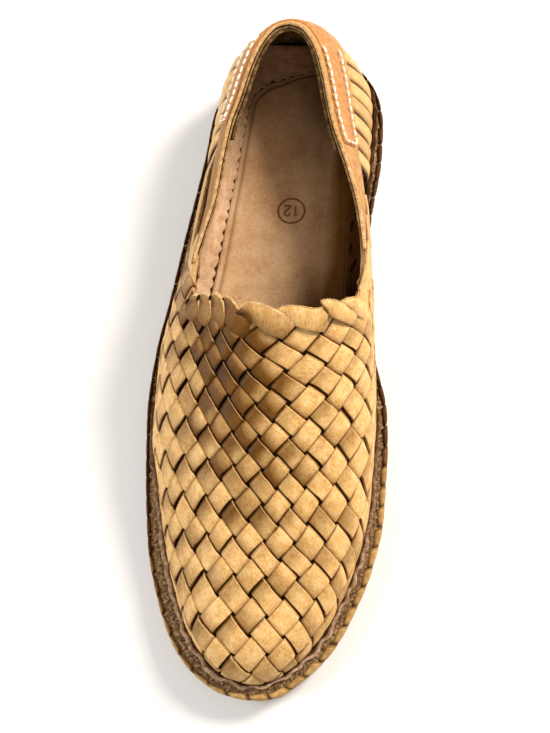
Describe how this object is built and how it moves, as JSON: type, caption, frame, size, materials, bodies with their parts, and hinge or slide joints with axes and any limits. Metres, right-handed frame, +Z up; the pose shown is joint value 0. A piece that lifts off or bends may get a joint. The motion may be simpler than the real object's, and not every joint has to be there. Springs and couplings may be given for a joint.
{
  "type": "woven leather slipper",
  "caption": "Right slip-on leather shoe with an interlaced strip upper, open throat and collar, plain collar strap, whip-stitched welt and low heel.",
  "frame": {"origin": "on the ground plane, under the middle of the shoe's length and width", "axes": "+Z up; the toe points to -Y and the heel to +Y; +X is the medial, big-toe side"},
  "size_m": [0.1126, 0.314, 0.0705],
  "materials": {
    "sole_leather": "brown vegetable-tanned sole leather, smooth grain, cut edges",
    "heel_leather": "dark stacked sole leather, worn underneath",
    "welt_leather": "raw flesh-side band inside a smooth tan whip-stitched edge",
    "insole_leather": "smooth pinkish-brown lining leather, soft sheen",
    "woven_leather": "golden tan vegetable-tanned strips, smooth grain with pale cut edges",
    "strap_leather": "natural tan strap leather, matt, with fuzzy raw edges"
  },
  "bodies": {
    "root": {"outsole": "sole_leather", "heel_lift": "heel_leather", "midsole": "welt_leather", "insole": "insole_leather", "upper": "woven_leather", "collar_strap": "strap_leather"}
  },
  "joints": []
}
